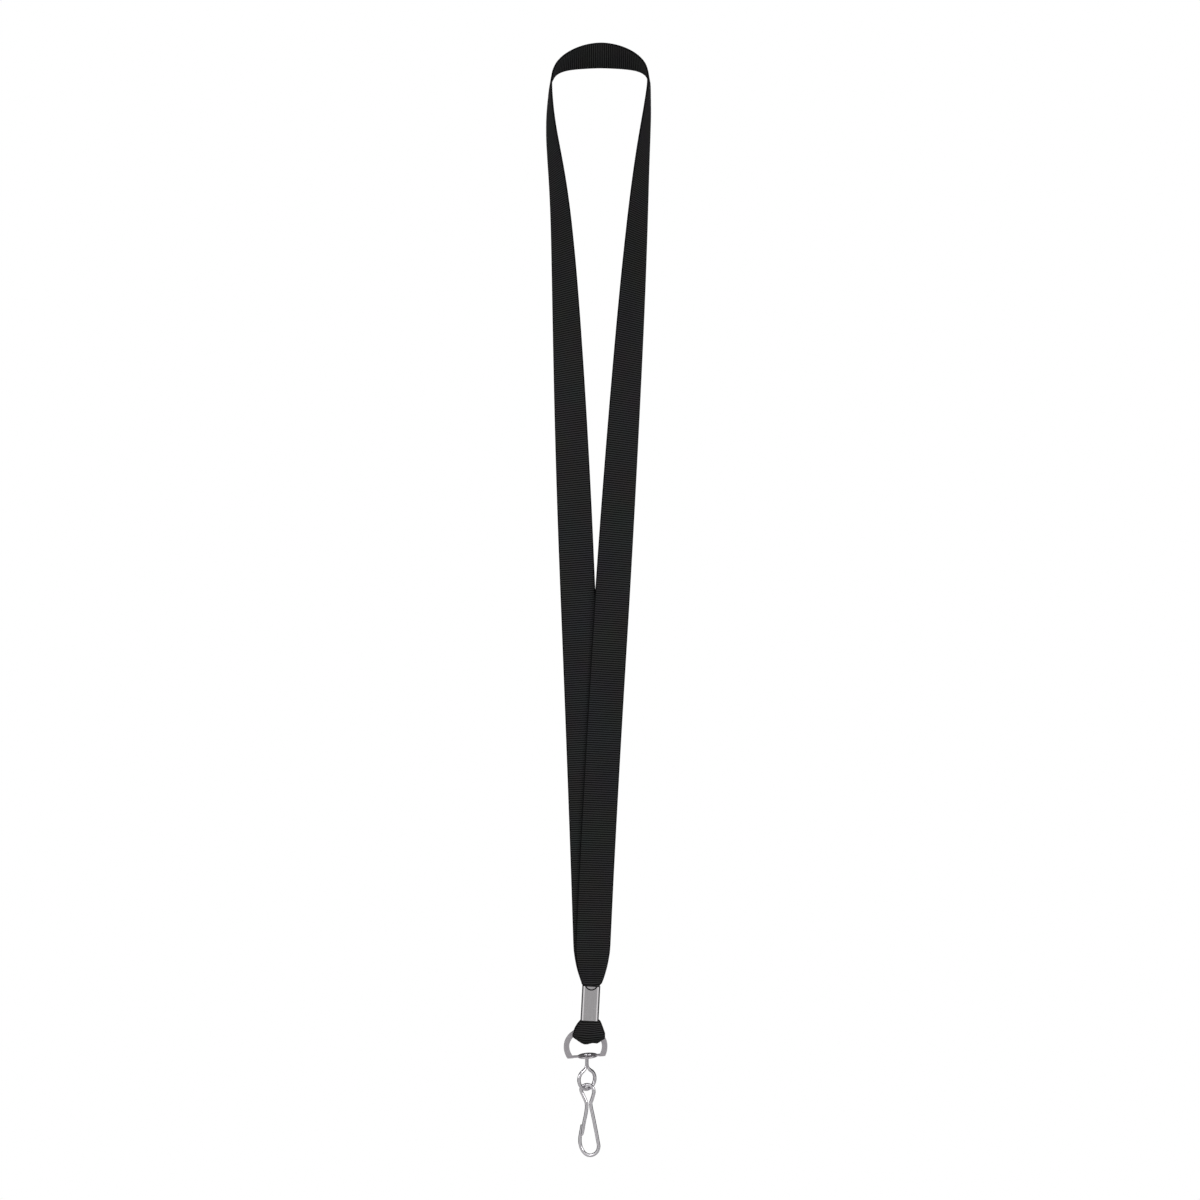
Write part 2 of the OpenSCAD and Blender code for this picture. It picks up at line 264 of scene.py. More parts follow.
def smooth_rows(knots, length_wanted, fine_steps=12000):
    """A smooth sheet through the rows, with its rows evenly spaced along its middle."""
    middle = knots[:, len(ACROSS) // 2]
    steps = np.linalg.norm(np.diff(middle, axis=0), axis=1) ** 0.5
    at = np.concatenate([[0], np.cumsum(steps)])
    fine = np.linspace(0, at[-1], fine_steps)
    span = np.clip(np.searchsorted(at, fine, side="right") - 1, 0, len(at) - 2)
    before, after = np.maximum(span - 1, 0), np.minimum(span + 2, len(at) - 1)
    width = (at[span + 1] - at[span])[:, None, None]
    rise_a = (knots[span + 1] - knots[before]) / (at[span + 1] - at[before])[:, None, None]
    rise_b = (knots[after] - knots[span]) / (at[after] - at[span])[:, None, None]
    s = ((fine - at[span]) / (at[span + 1] - at[span]))[:, None, None]
    path = (
        (2 * s**3 - 3 * s**2 + 1) * knots[span] + (s**3 - 2 * s**2 + s) * width * rise_a
        + (3 * s**2 - 2 * s**3) * knots[span + 1] + (s**3 - s**2) * width * rise_b
    )
    run = np.linalg.norm(np.diff(path[:, len(ACROSS) // 2], axis=0), axis=1)
    run = np.concatenate([[0], np.cumsum(run)])
    count = int(run[-1] / length_wanted)
    even = np.interp(np.arange(count + 1) * length_wanted, run, np.arange(len(run)))
    low = np.clip(even.astype(int), 0, len(path) - 2)
    part = (even - low)[:, None, None]
    return path[low] * (1 - part) + path[low + 1] * part, run[-1]


sheet, strap_length = smooth_rows(rows, RIB_PITCH / STATIONS_PER_RIB)
count = sheet.shape[0]
along = np.gradient(sheet, axis=0)
sideways = np.gradient(sheet, axis=1)
outward = np.cross(along, sideways)
outward /= np.linalg.norm(outward, axis=2, keepdims=True)

# Thickness across the strap: a slightly fuller selvedge, closed at the very edge
edge = np.abs(ACROSS)
half_thick = STRAP_THICK / 2 * np.interp(edge, [0, 0.8, 0.9, 0.975, 1], [1, 1, 1.06, 0.75, 0.0])
rib_share = np.interp(edge, [0, 0.8, 0.9, 0.975, 1], [1, 1, 0.45, 0.3, 0.0])
rib = RIB_STEPS[np.arange(count) % STATIONS_PER_RIB]
lift = half_thick[None, :] + RIB_HEIGHT * rib[:, None] * rib_share[None, :]
top_face = sheet + outward * lift[:, :, None]
under_face = sheet - outward * lift[:, :, None]
ring = np.concatenate([top_face, under_face[:, -2:0:-1]], axis=1)
around = ring.shape[1]

corner = (np.arange(count - 1)[:, None] * around + np.arange(around)[None, :]).ravel()
following = (np.arange(count - 1)[:, None] * around + (np.arange(around)[None, :] + 1) % around).ravel()
quads = np.stack([corner, corner + around, following + around, following], 1)
first_end = list(range(around))
last_end = [(count - 1) * around + i for i in range(around)][::-1]
strap_mesh = bpy.data.meshes.new("ribbon")
strap_mesh.from_pydata(ring.reshape(-1, 3).tolist(), [], quads.tolist() + [first_end, last_end])
across_uv = np.concatenate([(ACROSS + 1) / 2, ((ACROSS + 1) / 2)[-2:0:-1]])
weave = strap_mesh.uv_layers.new(name="weave")
loop_vertex = np.zeros(len(strap_mesh.loops), np.int32)
strap_mesh.loops.foreach_get("vertex_index", loop_vertex)
uv = np.stack([across_uv[loop_vertex % around], (loop_vertex // around) / STATIONS_PER_RIB], 1)
weave.data.foreach_set("uv", uv.astype(np.float32).ravel())
strap_mesh.polygons.foreach_set("use_smooth", [True] * len(strap_mesh.polygons))
strap_mesh.update()
ribbon = bpy.data.objects.new("ribbon", strap_mesh)
scene.collection.objects.link(ribbon)


def new_material(name):
    """An empty material and its Principled shader."""
    material = bpy.data.materials.new(name)
    material.use_nodes = True
    tree = material.node_tree
    return material, tree.nodes, tree.links, tree.nodes["Principled BSDF"]


VALLEY_BLACK = (0.0008, 0.0008, 0.0009, 1)
CREST_BLACK = (0.042, 0.042, 0.043, 1)
SELVEDGE_BLACK = (0.0025, 0.0025, 0.0028, 1)
black_ribbon, nodes, links, shader = new_material("black_ribbon")
place = nodes.new("ShaderNodeUVMap")
place.uv_map = "weave"
split = nodes.new("ShaderNodeSeparateXYZ")
links.new(place.outputs["UV"], split.inputs[0])
# Valley between two ribs: dark, because light doesn't reach it
turns = nodes.new("ShaderNodeMath")
turns.operation = "MULTIPLY"
turns.inputs[1].default_value = 2 * math.pi
links.new(split.outputs["Y"], turns.inputs[0])
crest = nodes.new("ShaderNodeMath")
crest.operation = "COSINE"
links.new(turns.outputs[0], crest.inputs[0])
rib_tone = nodes.new("ShaderNodeMapRange")
rib_tone.inputs["From Min"].default_value = -1
rib_tone.inputs["From Max"].default_value = 0.9
rib_tone.inputs["To Min"].default_value = 1
rib_tone.inputs["To Max"].default_value = 0
links.new(crest.outputs[0], rib_tone.inputs["Value"])
# Selvedge: the last millimetre along each edge is woven closer and looks darker
from_middle = nodes.new("ShaderNodeMath")
from_middle.operation = "SUBTRACT"
from_middle.inputs[1].default_value = 0.5
links.new(split.outputs["X"], from_middle.inputs[0])
distance = nodes.new("ShaderNodeMath")
distance.operation = "ABSOLUTE"
links.new(from_middle.outputs[0], distance.inputs[0])
selvedge = nodes.new("ShaderNodeMapRange")
selvedge.inputs["From Min"].default_value = 0.462
selvedge.inputs["From Max"].default_value = 0.48
links.new(distance.outputs[0], selvedge.inputs["Value"])
# Yarns that run along the strap over the ribs, and uneven dye
yarn_scale = nodes.new("ShaderNodeVectorMath")
yarn_scale.operation = "MULTIPLY"
yarn_scale.inputs[1].default_value = (90, 1.3, 1)
links.new(place.outputs["UV"], yarn_scale.inputs[0])
yarns = nodes.new("ShaderNodeTexNoise")
yarns.inputs["Scale"].default_value = 1
yarns.inputs["Detail"].default_value = 3
links.new(yarn_scale.outputs[0], yarns.inputs["Vector"])
object_place = nodes.new("ShaderNodeTexCoord")
dye = nodes.new("ShaderNodeTexNoise")
dye.inputs["Scale"].default_value = 60
dye.inputs["Detail"].default_value = 4
links.new(object_place.outputs["Object"], dye.inputs["Vector"])
tone = nodes.new("ShaderNodeMix")
tone.data_type = "RGBA"
tone.inputs["A"].default_value = VALLEY_BLACK
tone.inputs["B"].default_value = CREST_BLACK
links.new(rib_tone.outputs[0], tone.inputs["Factor"])
dyed = nodes.new("ShaderNodeMix")
dyed.data_type = "RGBA"
dyed.blend_type = "MULTIPLY"
dyed.inputs["Factor"].default_value = 0.35
links.new(tone.outputs["Result"], dyed.inputs["A"])
links.new(dye.outputs["Color"], dyed.inputs["B"])
edged = nodes.new("ShaderNodeMix")
edged.data_type = "RGBA"
edged.inputs["B"].default_value = SELVEDGE_BLACK
links.new(selvedge.outputs[0], edged.inputs["Factor"])
links.new(dyed.outputs["Result"], edged.inputs["A"])
links.new(edged.outputs["Result"], shader.inputs["Base Color"])
yarn_bump = nodes.new("ShaderNodeBump")
yarn_bump.inputs["Strength"].default_value = 0.35
yarn_bump.inputs["Distance"].default_value = 0.00006
links.new(yarns.outputs["Fac"], yarn_bump.inputs["Height"])
links.new(yarn_bump.outputs["Normal"], shader.inputs["Normal"])
shader.inputs["Roughness"].default_value = 0.7
shader.inputs["Specular IOR Level"].default_value = 0.06
shader.inputs["Sheen Weight"].default_value = 0.03
shader.inputs["Sheen Roughness"].default_value = 0.4
ribbon.data.materials.append(black_ribbon)

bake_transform(ribbon)
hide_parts("strap_neck", "strap_leg_right", "strap_leg_left", "strap_tails", "strap_loop")

# ---------------------------------------------------------------------------
# Crimp sleeve. A strip of bright plated sheet, folded into a flat tube round the
# gathered strap and pressed shut. The seam is at the back; the press leaves a
# shallow scoop at the top of the front.
# ---------------------------------------------------------------------------
CRIMP_WIDTH = 8.2 * MM
CRIMP_DEPTH = 5.4 * MM
CRIMP_LENGTH = 15.4 * MM
CRIMP_WALL = 0.55 * MM
CRIMP_CORNER = 1.55 * MM
ARCH_ABOVE = 1.29 * MM
ARCH_OUTER = 2.99 * MM
ARCH_INNER = 2.45 * MM
LIP_SET_BACK = 0.22 * MM
SEAM_WIDTH = 0.22 * MM
CRIMP_MIDDLE = (crimp_low + crimp_high) / 2


def choose_only(piece):
    """Selects one object and makes it the active one."""
    bpy.ops.object.select_all(action="DESELECT")
    piece.select_set(True)
    bpy.context.view_layer.objects.active = piece


def new_box(size, place=(0, 0, 0)):
    """A box to start a piece from, or to cut one with."""
    bpy.ops.object.select_all(action="DESELECT")
    bpy.ops.mesh.primitive_cube_add(size=1, location=place)
    bpy.context.object.scale = size
    return bpy.context.object


def new_disc(radius, depth, sides, place=(0, 0, 0), tilt=90):
    """A round disc, facing the front unless its tilt says otherwise."""
    bpy.ops.object.select_all(action="DESELECT")
    bpy.ops.mesh.primitive_cylinder_add(
        vertices=sides, radius=radius, depth=depth, location=place, rotation=(math.radians(tilt), 0, 0)
    )
    return bpy.context.object


def apply_all(piece):
    """Applies the modifiers and the place, so that the object sits at the origin."""
    choose_only(piece)
    for modifier in list(piece.modifiers):
        bpy.ops.object.modifier_apply(modifier=modifier.name)
    bpy.ops.object.transform_apply(location=True, rotation=True, scale=True)


def cut_or_join(piece, other, operation):
    """Cuts the other solid out of the piece, or joins it on, and removes the other."""
    modifier = piece.modifiers.new("solid", "BOOLEAN")
    modifier.operation = operation
    modifier.solver = "EXACT"
    modifier.object = other
    choose_only(piece)
    bpy.ops.object.modifier_apply(modifier=modifier.name)
    bpy.data.objects.remove(other)


def soften_edges(piece, width, segments, angle=32):
    """Rounds the sharp edges a little, as plating and tumbling do."""
    modifier = piece.modifiers.new("soft_edges", "BEVEL")
    modifier.width = width
    modifier.segments = segments
    modifier.limit_method = "ANGLE"
    modifier.angle_limit = math.radians(angle)
    apply_all(piece)
    bpy.ops.object.shade_smooth_by_angle(angle=math.radians(30))
    flat_faces = piece.modifiers.new("flat_faces", "WEIGHTED_NORMAL")
    flat_faces.keep_sharp = True
    bpy.ops.object.modifier_apply(modifier="flat_faces")


crimp = new_box((CRIMP_WIDTH, CRIMP_DEPTH, CRIMP_LENGTH))
crimp.name = crimp.data.name = "crimp"
bpy.ops.object.transform_apply(scale=True)
bpy.ops.object.mode_set(mode="EDIT")
bpy.ops.mesh.select_all(action="DESELECT")
bpy.ops.mesh.select_mode(type="EDGE")
bpy.ops.object.mode_set(mode="OBJECT")
for e in crimp.data.edges:
    a, b = (crimp.data.vertices[i].co for i in e.vertices)
    e.select = abs(a.z - b.z) > CRIMP_LENGTH / 2
bpy.ops.object.mode_set(mode="EDIT")
bpy.ops.mesh.bevel(offset=CRIMP_CORNER, segments=9, affect="EDGES")
bpy.ops.mesh.select_mode(type="FACE")
bpy.ops.mesh.select_all(action="DESELECT")
bpy.ops.object.mode_set(mode="OBJECT")
for f in crimp.data.polygons:
    f.select = abs(f.normal.z) > 0.9
bpy.ops.object.mode_set(mode="EDIT")
bpy.ops.mesh.delete(type="FACE")
bpy.ops.object.mode_set(mode="OBJECT")
wall = crimp.modifiers.new("wall", "SOLIDIFY")
wall.thickness = CRIMP_WALL
wall.offset = -1
wall.use_even_offset = True
bpy.ops.object.modifier_apply(modifier="wall")
# Pressed mark at the top of the front: an arched slit, and the lip above it is set back
arch_middle = (0, -CRIMP_DEPTH / 2, CRIMP_LENGTH / 2 + ARCH_ABOVE)
slit = new_disc(ARCH_OUTER, 0.0016, 96, arch_middle)
cut_or_join(slit, new_disc(ARCH_INNER, 0.004, 96, arch_middle), "DIFFERENCE")
cut_or_join(crimp, slit, "DIFFERENCE")
for v in crimp.data.vertices:
    from_arch = math.hypot(v.co.x, v.co.z - arch_middle[2])
    if v.co.y < -0.0019 and from_arch < ARCH_INNER + 0.00002 and abs(v.co.x) < 0.0024:
        v.co.y += LIP_SET_BACK
# Seam at the back
seam = new_box((SEAM_WIDTH, 0.0016, CRIMP_LENGTH * 1.2), (0, CRIMP_DEPTH / 2, 0))
cut_or_join(crimp, seam, "DIFFERENCE")
crimp.rotation_euler = (0, CRIMP_LEAN, 0)
crimp.location = CRIMP_MIDDLE
soften_edges(crimp, 0.09 * MM, 2, angle=40)

# Surface wear that every metal finish shares: cloudy patches and hair scratches
wear = bpy.data.node_groups.new("handling_wear", "ShaderNodeTree")
wear.interface.new_socket("Patches", in_out="INPUT", socket_type="NodeSocketFloat")
wear.interface.new_socket("Scratches", in_out="INPUT", socket_type="NodeSocketFloat")
wear.interface.new_socket("Low", in_out="INPUT", socket_type="NodeSocketFloat")
wear.interface.new_socket("High", in_out="INPUT", socket_type="NodeSocketFloat")
wear.interface.new_socket("Roughness", in_out="OUTPUT", socket_type="NodeSocketFloat")
wear.interface.new_socket("Height", in_out="OUTPUT", socket_type="NodeSocketFloat")
wear_in = wear.nodes.new("NodeGroupInput")
wear_out = wear.nodes.new("NodeGroupOutput")
wear_place = wear.nodes.new("ShaderNodeTexCoord")
cloud = wear.nodes.new("ShaderNodeTexNoise")
cloud.inputs["Detail"].default_value = 4
wear.links.new(wear_place.outputs["Object"], cloud.inputs["Vector"])
wear.links.new(wear_in.outputs["Patches"], cloud.inputs["Scale"])
stretch = wear.nodes.new("ShaderNodeMapping")
stretch.inputs["Rotation"].default_value = (0.3, 0.5, 0.8)
stretch.inputs["Scale"].default_value = (1, 1, 0.08)
wear.links.new(wear_place.outputs["Object"], stretch.inputs["Vector"])
hair = wear.nodes.new("ShaderNodeTexNoise")
hair.inputs["Detail"].default_value = 2
wear.links.new(stretch.outputs[0], hair.inputs["Vector"])
wear.links.new(wear_in.outputs["Scratches"], hair.inputs["Scale"])
spread = wear.nodes.new("ShaderNodeMapRange")
spread.inputs["From Min"].default_value = 0.3
spread.inputs["From Max"].default_value = 0.7
wear.links.new(cloud.outputs["Fac"], spread.inputs["Value"])
wear.links.new(wear_in.outputs["Low"], spread.inputs["To Min"])
wear.links.new(wear_in.outputs["High"], spread.inputs["To Max"])
wear.links.new(spread.outputs[0], wear_out.inputs["Roughness"])
wear.links.new(hair.outputs["Fac"], wear_out.inputs["Height"])


def metal(name, colour, low, high, patches, scratches, strength):
    """A plated finish: its colour, the range of its roughness, and its fine marks."""
    material, nodes, links, shader = new_material(name)
    shader.inputs["Metallic"].default_value = 1
    marks = nodes.new("ShaderNodeGroup")
    marks.node_tree = wear
    marks.inputs["Patches"].default_value = patches
    marks.inputs["Scratches"].default_value = scratches
    marks.inputs["Low"].default_value = low
    marks.inputs["High"].default_value = high
    links.new(marks.outputs["Roughness"], shader.inputs["Roughness"])
    bump = nodes.new("ShaderNodeBump")
    bump.inputs["Strength"].default_value = strength
    bump.inputs["Distance"].default_value = 0.00002
    links.new(marks.outputs["Height"], bump.inputs["Height"])
    links.new(bump.outputs["Normal"], shader.inputs["Normal"])
    tint = nodes.new("ShaderNodeMix")
    tint.data_type = "RGBA"
    tint.inputs["A"].default_value = (*colour, 1)
    tint.inputs["B"].default_value = (*[c * 0.86 for c in colour], 1)
    links.new(marks.outputs["Height"], tint.inputs["Factor"])
    links.new(tint.outputs["Result"], shader.inputs["Base Color"])
    return material


bright_sheet = metal("bright_nickel_sheet", (0.86, 0.835, 0.85), 0.14, 0.2, 300, 2500, 0.08)
crimp.data.materials.clear()
crimp.data.materials.append(bright_sheet)
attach(crimp, "clasp")
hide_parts("crimp_sleeve")

# ---------------------------------------------------------------------------
# Swivel head. Pressed from one piece of satin plated sheet: a flat bow that the
# strap is folded round, and a foot turned square to it, with a round pad in the
# middle that the eye's shank turns in.
# ---------------------------------------------------------------------------
BOW_RADIUS = 9.9 * MM
head_low, head_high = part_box("swivel_head")
HEAD_MIDDLE = Vector(((head_low.x + head_high.x) / 2, hang_y, head_high.z - BOW_RADIUS))
BOW_BAND = 2.5 * MM
BOW_THICK = 1.2 * MM
FOOT_DROP = 4.4 * MM
PAD_OFFSET = 0.6 * MM
PAD_RADIUS = 4.35 * MM
FOOT_THICK = 0.8 * MM
FOOT_LONG = 12.8 * MM
FOOT_WIDE = 2.1 * MM
BOW_FLATTENED = 0.87
BOW_LOWEST = FOOT_DROP + 0.6 * MM
SHANK_HOLE = 0.95 * MM
HEAD_LEAN = math.radians(-4)
PAD_TILT = 4

bow = new_disc(BOW_RADIUS, BOW_THICK, 160)
bow.name = bow.data.name = "bow"
bpy.ops.object.transform_apply(rotation=True)
# The window stops above the foot
window = new_disc(BOW_RADIUS - BOW_BAND, BOW_THICK * 3, 160)
cut_or_join(window, new_box((0.03, 0.03, 0.02), (0, 0, -FOOT_DROP - 0.01)), "DIFFERENCE")
cut_or_join(bow, window, "DIFFERENCE")
# The bow is flatter above its middle than below
for v in bow.data.vertices:
    if v.co.z > 0:
        v.co.z *= BOW_FLATTENED
cut_or_join(bow, new_box((0.03, 0.03, 0.02), (0, 0, -BOW_LOWEST - 0.01)), "DIFFERENCE")
# Its two lower corners are rounded off
bpy.ops.object.mode_set(mode="EDIT")
bpy.ops.mesh.select_mode(type="EDGE")
bpy.ops.mesh.select_all(action="DESELECT")
bpy.ops.object.mode_set(mode="OBJECT")
for e in bow.data.edges:
    a, b = (bow.data.vertices[i].co for i in e.vertices)
    through = abs(a.y - b.y) > BOW_THICK / 2 and abs(a.z - b.z) < 1e-6
    e.select = through and a.z < -BOW_LOWEST + 0.1 * MM and abs(a.x) > 8 * MM
bpy.ops.object.mode_set(mode="EDIT")
bpy.ops.mesh.bevel(offset=0.0008, segments=5, affect="EDGES")
bpy.ops.object.mode_set(mode="OBJECT")
# The middle of the lower edge is taken away: the foot is there instead
middle = new_box((FOOT_LONG - MM, 0.03, 0.004), (0, 0, -FOOT_DROP))
cut_or_join(bow, middle, "DIFFERENCE")
# Foot: a bar turned flat, with the round pad, tilted a little towards the front
bar = new_box((FOOT_LONG, FOOT_WIDE, FOOT_THICK), (0, 0, -FOOT_DROP))
bpy.ops.object.transform_apply(scale=True)
cut_or_join(bow, bar, "UNION")
pad_middle = (PAD_OFFSET, 0, -FOOT_DROP)
cut_or_join(bow, new_disc(PAD_RADIUS, FOOT_THICK, 96, pad_middle, tilt=PAD_TILT), "UNION")
cut_or_join(bow, new_disc(SHANK_HOLE, 0.004, 48, pad_middle, tilt=0), "DIFFERENCE")
bow.rotation_euler = (0, HEAD_LEAN, 0)
bow.location = HEAD_MIDDLE
soften_edges(bow, 0.2 * MM, 3, angle=40)
satin_sheet = metal("satin_nickel_sheet", (0.68, 0.65, 0.68), 0.34, 0.42, 500, 4000, 0.15)
bow.data.materials.clear()
bow.data.materials.append(satin_sheet)
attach(bow, "head")
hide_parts("swivel_head")

# ---------------------------------------------------------------------------
# Swivel eye. One bright wire bent into a ring. Its two ends lie side by side as
# the shank, pass up through the pad, and are headed over on top of it.
# ---------------------------------------------------------------------------
eye_low, eye_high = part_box("swivel_eye")
EYE_RADIUS = 4.45
EYE_WIRE = 0.8
EYE_AXIS = ((eye_low.x + eye_high.x) / 2, hang_y)
CAD_WIRE_RADIUS = 0.825
EYE_MIDDLE = eye_low.z / MM + EYE_RADIUS + CAD_WIRE_RADIUS
EYE_TURN = math.radians(37)
WIRE_STEPS = 8


def bent_wire(name, points, radii, turn, base, sides=5):
    """A round wire through points in mm, right, away and up, with its radius at each."""
    bpy.ops.object.select_all(action="DESELECT")
    bpy.ops.curve.primitive_bezier_curve_add(location=(0, 0, 0))
    wire = bpy.context.object
    wire.name = wire.data.name = name
    spline = wire.data.splines[0]
    spline.bezier_points.add(len(points) - len(spline.bezier_points))
    for knot, point, radius in zip(spline.bezier_points, points, radii):
        knot.co = Vector(point) * MM
        knot.radius = radius
        knot.handle_left_type = knot.handle_right_type = "AUTO"
    wire.data.dimensions = "3D"
    wire.data.resolution_u = WIRE_STEPS
    wire.data.bevel_depth = MM
    wire.data.bevel_resolution = sides
    wire.rotation_euler = (0, 0, turn)
    wire.location = base
    bpy.ops.object.convert(target="MESH")
    wire = bpy.context.object
    bpy.ops.object.mode_set(mode="EDIT")
    bpy.ops.mesh.select_all(action="SELECT")
    bpy.ops.mesh.fill_holes(sides=0)
    bpy.ops.mesh.normals_make_consistent(inside=False)
    bpy.ops.object.mode_set(mode="OBJECT")
    bpy.ops.object.transform_apply(location=True, rotation=True, scale=True)
    bpy.ops.object.shade_smooth_by_angle(angle=math.radians(40))
    return wire


split_angle = math.radians(24)
ring_points = []
ring_steps = 14
for i in range(ring_steps + 1):
    a = math.pi / 2 + split_angle + (2 * math.pi - 2 * split_angle) * i / ring_steps
    ring_points.append((EYE_RADIUS * math.cos(a), 0, EYE_RADIUS * math.sin(a)))
shank_top = 10.9
eye_points = (
    [(-0.47, 0, shank_top), (-0.46, 0, 8.6), (-0.47, 0, 6.6), (-0.66, 0, 5.35)] + ring_points
    + [(0.66, 0, 5.35), (0.47, 0, 6.6), (0.46, 0, 8.6), (0.47, 0, shank_top)]
)
shank_radii = [0.44, 0.43, 0.44, 0.6]
eye_radii = shank_radii + [EYE_WIRE] * len(ring_points) + shank_radii[::-1]
eye = bent_wire("eye", eye_points, eye_radii, EYE_TURN, (*EYE_AXIS, EYE_MIDDLE * MM))
KNOB_HEIGHT = 11.1
KNOB_RADIUS = 0.9 * MM
KNOB_APART = (0.88 * MM, 0.3 * MM)
KNOB_ASIDE = (0.4 * MM, -0.3 * MM)
for side in (-1, 1):
    bpy.ops.object.select_all(action="DESELECT")
    bpy.ops.mesh.primitive_uv_sphere_add(segments=32, ring_count=24, radius=KNOB_RADIUS)
    knob = bpy.context.object
    bpy.ops.object.mode_set(mode="EDIT")
    bpy.ops.mesh.select_all(action="SELECT")
    bpy.ops.mesh.bisect(plane_co=(0, 0, 0), plane_no=(0, 0, 1), use_fill=True, clear_inner=True)
    bpy.ops.object.mode_set(mode="OBJECT")
    knob.location = (
        EYE_AXIS[0] + side * KNOB_APART[0] + KNOB_ASIDE[0],
        EYE_AXIS[1] + side * KNOB_APART[1] + KNOB_ASIDE[1],
        (EYE_MIDDLE + KNOB_HEIGHT) * MM,
    )
    bpy.ops.object.transform_apply(location=True, rotation=True, scale=True)
    cut_or_join(eye, knob, "UNION")
choose_only(eye)
bpy.ops.object.shade_smooth_by_angle(angle=math.radians(40))
bright_wire = metal("bright_nickel_wire", (0.74, 0.72, 0.75), 0.08, 0.16, 700, 5000, 0.12)
eye.data.materials.clear()
eye.data.materials.append(bright_wire)
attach(eye, "eye")
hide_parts("swivel_eye")

# ---------------------------------------------------------------------------
# Hook. One bright spring wire: from the blunt tip down round the bottom, up the
# right side, over the eye and back to the waist. The free end is its own gate,
# which springs inwards past the tip.
# ---------------------------------------------------------------------------
HOOK_WIRE = 0.8
HOOK_TURN = math.radians(-18)
HOOK_APEX = 8.6
# How far the waist of the hook lies to the right of the eye's axis
HOOK_ASIDE = 0.9 * MM
hook_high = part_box("hook_wire")[1]
HOOK_WAIST = (EYE_AXIS[0] + HOOK_ASIDE, hang_y, hook_high.z - (HOOK_APEX + CAD_WIRE_RADIUS) * MM)
hook_route = [
    (-3.4, 0.65, -9.9), (-3.9, 0.6, -12.6), (-4.4, 0.4, -16.3), (-4.15, 0.2, -18.7),
    (-3.3, 0.1, -20.9), (-1.8, 0, -22.6), (0.1, 0, -23.3), (2.3, 0, -22.8), (3.9, 0, -21.4),
    (4.65, 0, -19.3), (4.3, 0, -16.7), (3.1, 0.1, -10.8), (1.8, 0.3, -5.1), (0.9, 0.4, -1.3),
    (0.75, 0.4, 0.2), (1.3, 0.3, 1.8), (1.95, 0.1, 3.7), (2.35, 0, 5.6), (2, 0, 7.1),
    (0.85, 0, 8.25), (-0.7, 0, 8.6), (-2.35, 0, 8.15), (-3.5, 0, 7.1), (-3.65, 0, 5.85),
    (-2.8, -0.1, 4), (-1.7, -0.3, 1.9), (-1.2, -0.37, 0.8),
]
gate_route = [
    (-1.2, -0.37, 0.8), (-0.9, -0.4, -1), (-1, -0.45, -2.4), (-1.25, -0.55, -4.4),
    (-2, -0.75, -8.2), (-2.6, -0.9, -12), (-2.85, -0.95, -13.8), (-2.95, -0.96, -14.4),
]
whole_route = hook_route + gate_route[1:]
end_radii = [HOOK_WIRE * 0.97, HOOK_WIRE * 0.7, HOOK_WIRE * 0.25]
whole_radii = [HOOK_WIRE] * (len(whole_route) - 3) + end_radii
hook = bent_wire("hook", whole_route, whole_radii, HOOK_TURN, HOOK_WAIST, sides=6)
# The one wire is parted between two of its rings at the waist, into the hook and its free
# end, the gate. Both cut ends are closed.
hook.select_set(True)
bpy.ops.object.duplicate()
gate = bpy.context.object
gate.name = gate.data.name = "gate"
WIRE_SIDES = 16
parting = (len(hook_route) - 1) * WIRE_STEPS
for piece, keep_above in ((hook, False), (gate, True)):
    choose_only(piece)
    bpy.ops.object.mode_set(mode="EDIT")
    bpy.ops.mesh.select_mode(type="VERT")
    bpy.ops.mesh.select_all(action="DESELECT")
    bpy.ops.object.mode_set(mode="OBJECT")
    for v in piece.data.vertices:
        v.select = v.index // WIRE_SIDES < parting if keep_above else v.index // WIRE_SIDES > parting
    bpy.ops.object.mode_set(mode="EDIT")
    bpy.ops.mesh.delete(type="VERT")
    bpy.ops.mesh.select_all(action="SELECT")
    bpy.ops.mesh.fill_holes(sides=0)
    bpy.ops.mesh.normals_make_consistent(inside=False)
    bpy.ops.object.mode_set(mode="OBJECT")
    bpy.ops.object.shade_smooth_by_angle(angle=math.radians(40))
spring_wire = metal("bright_spring_wire", (0.76, 0.74, 0.77), 0.14, 0.22, 700, 5000, 0.12)
for piece in (hook, gate):
    piece.data.materials.clear()
    piece.data.materials.append(spring_wire)
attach(hook, "hook")
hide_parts("hook_wire")
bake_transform(gate)
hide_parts("hook_gate")

# ---------------------------------------------------------------------------
# Stage: a pale floor well below the hanging lanyard, a white surround, and large
# soft lights to the left, to the right and above.
# ---------------------------------------------------------------------------
FLOOR_RADIUS = 0.8
FLOOR_HEIGHT = -0.72
bpy.ops.object.select_all(action="DESELECT")
bpy.ops.mesh.primitive_circle_add(
    vertices=96, radius=FLOOR_RADIUS, fill_type="NGON", location=(0, 0, FLOOR_HEIGHT)
)
floor = bpy.context.object
floor.name = "floor"
pale, nodes, links, shader = new_material("pale_floor")
shader.inputs["Base Color"].default_value = (0.88, 0.88, 0.88, 1)
shader.inputs["Roughness"].default_value = 0.8
floor.data.materials.append(pale)

surround = bpy.data.worlds.new("surround")
scene.world = surround
surround.use_nodes = True
nodes, links = surround.node_tree.nodes, surround.node_tree.links
background = nodes["Background"]
way = nodes.new("ShaderNodeTexCoord")
parts = nodes.new("ShaderNodeSeparateXYZ")
links.new(way.outputs["Generated"], parts.inputs[0])
depth = nodes.new("ShaderNodeValToRGB")
depth.color_ramp.elements[0].position = 0.0
depth.color_ramp.elements[0].color = (0.38, 0.38, 0.38, 1)
depth.color_ramp.elements[1].position = 1.0
depth.color_ramp.elements[1].color = (0.12, 0.12, 0.12, 1)
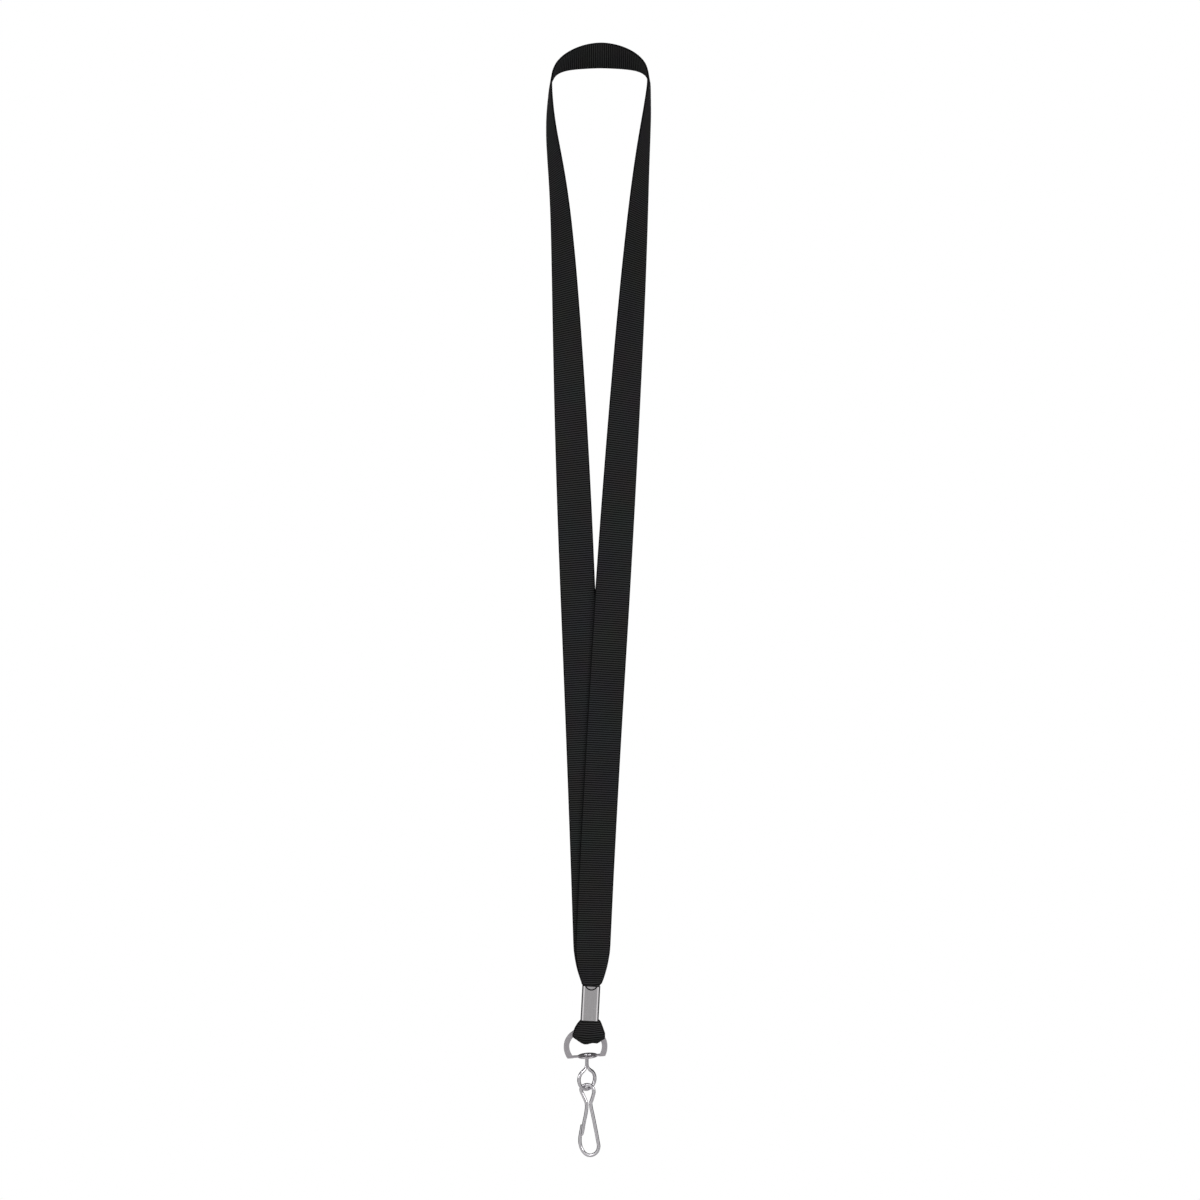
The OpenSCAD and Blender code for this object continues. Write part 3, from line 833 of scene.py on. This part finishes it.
# Light from the front and its sides only, so that round wires show dark edges
for position, level in (
    (0.025, 0.38), (0.07, 0.6), (0.13, 1.0), (0.24, 0.8), (0.34, 0.25), (0.6, 0.08), (0.96, 0.06),
):
    stop = depth.color_ramp.elements.new(position)
    stop.color = (level, level, level, 1)
half = nodes.new("ShaderNodeMapRange")
half.inputs["From Min"].default_value = -1
half.inputs["From Max"].default_value = 1
links.new(parts.outputs["Y"], half.inputs["Value"])
links.new(half.outputs[0], depth.inputs["Fac"])
# Dark flags behind the lanyard: to the right, and above on both sides
flagged = depth.outputs["Color"]
for direction, inner, outer in (
    ((0.72, 0.7, 0), 0.97, 0.92), ((-0.6, 0.62, 0.5), 0.97, 0.91), ((0.6, 0.62, 0.5), 0.97, 0.91),
):
    towards = nodes.new("ShaderNodeVectorMath")
    towards.operation = "DOT_PRODUCT"
    towards.inputs[1].default_value = direction
    links.new(way.outputs["Generated"], towards.inputs[0])
    fade = nodes.new("ShaderNodeMapRange")
    fade.inputs["From Min"].default_value = outer
    fade.inputs["From Max"].default_value = inner
    links.new(towards.outputs["Value"], fade.inputs["Value"])
    flag = nodes.new("ShaderNodeMix")
    flag.data_type = "RGBA"
    flag.inputs["B"].default_value = (0.03, 0.03, 0.03, 1)
    links.new(fade.outputs[0], flag.inputs["Factor"])
    links.new(flagged, flag.inputs["A"])
    flagged = flag.outputs["Result"]
seen = nodes.new("ShaderNodeLightPath")
choose = nodes.new("ShaderNodeMix")
choose.data_type = "RGBA"
choose.inputs["B"].default_value = (1, 1, 1, 1)
links.new(seen.outputs["Is Camera Ray"], choose.inputs["Factor"])
links.new(flagged, choose.inputs["A"])
links.new(choose.outputs["Result"], background.inputs["Color"])

for name, place_at, size, power in (
    ("light_left", (-0.9, -0.7, 0.1), 0.5, 3), ("light_right", (0.9, -0.7, 0.1), 0.5, 3),
    ("light_top", (0, -0.3, 0.9), 0.8, 3),
):
    bpy.ops.object.light_add(type="AREA", location=place_at)
    lamp = bpy.context.object
    lamp.name = name
    lamp.data.size = size
    lamp.data.energy = power
    lamp.rotation_euler = (Vector((0, 0, -0.3)) - Vector(place_at)).to_track_quat("-Z", "Y").to_euler()

scene.view_settings.view_transform = "Standard"
